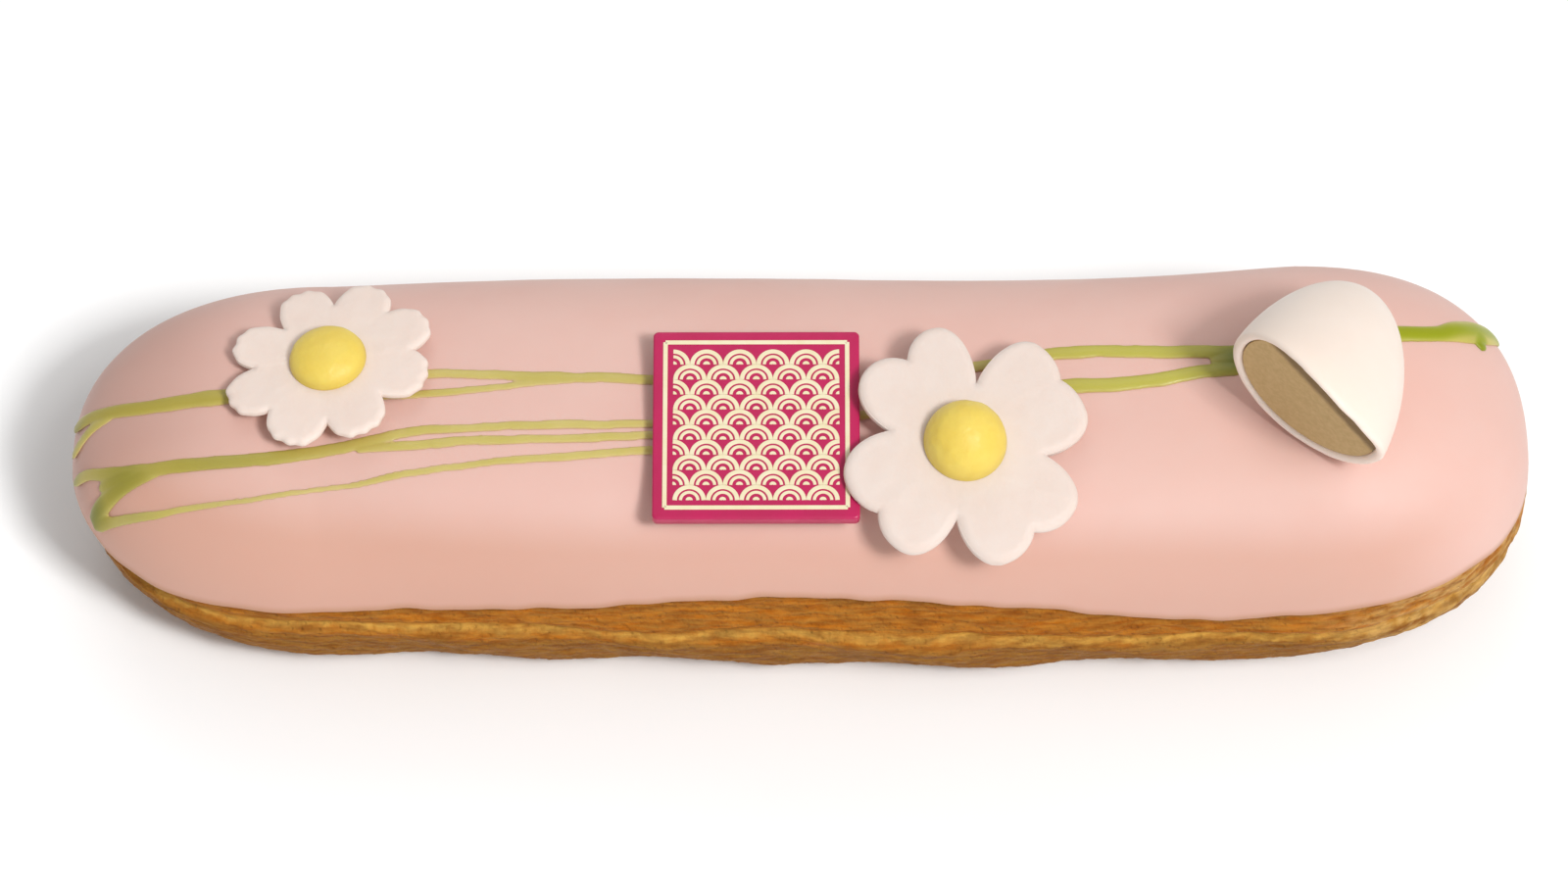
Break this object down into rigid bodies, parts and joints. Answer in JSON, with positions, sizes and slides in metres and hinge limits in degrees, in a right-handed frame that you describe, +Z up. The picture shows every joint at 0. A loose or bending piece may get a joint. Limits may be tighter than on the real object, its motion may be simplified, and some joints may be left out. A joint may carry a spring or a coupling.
{
  "type": "iced eclair",
  "caption": "Iced eclair: a choux finger with a pink fondant top, piped green stems, sugar flowers, a printed chocolate plaque and a filled half chocolate egg.",
  "frame": {"origin": "middle of the flat base, below the middle of the finger's length and spine", "axes": "+X along the finger from the small flower to the half egg, +Y to the back, +Z up"},
  "size_m": [0.1399, 0.0382, 0.0461],
  "materials": {
    "crust": "baked choux crust, dry and matt, golden brown with a paler split",
    "fondant": "pale pink fondant, smooth and satin",
    "sugar_white": "white sugar paste, matt",
    "sugar_yellow": "yellow sugar paste, soft satin",
    "plaque_pink": "tempered chocolate, coloured deep pink, satin",
    "white_chocolate": "white chocolate, satin",
    "praline": "praline paste, cut face, matt",
    "piped_green": "piped yellow green icing, satin",
    "print_cream": "cream cocoa butter print, satin"
  },
  "bodies": {
    "root": {"choux": "crust", "icing": "fondant", "daisy_petals": "sugar_white", "daisy_heart": "sugar_yellow", "blossom_petals": "sugar_white", "blossom_heart": "sugar_yellow", "plaque": "plaque_pink", "egg_shell": "white_chocolate", "egg_filling": "praline"}
  },
  "joints": []
}
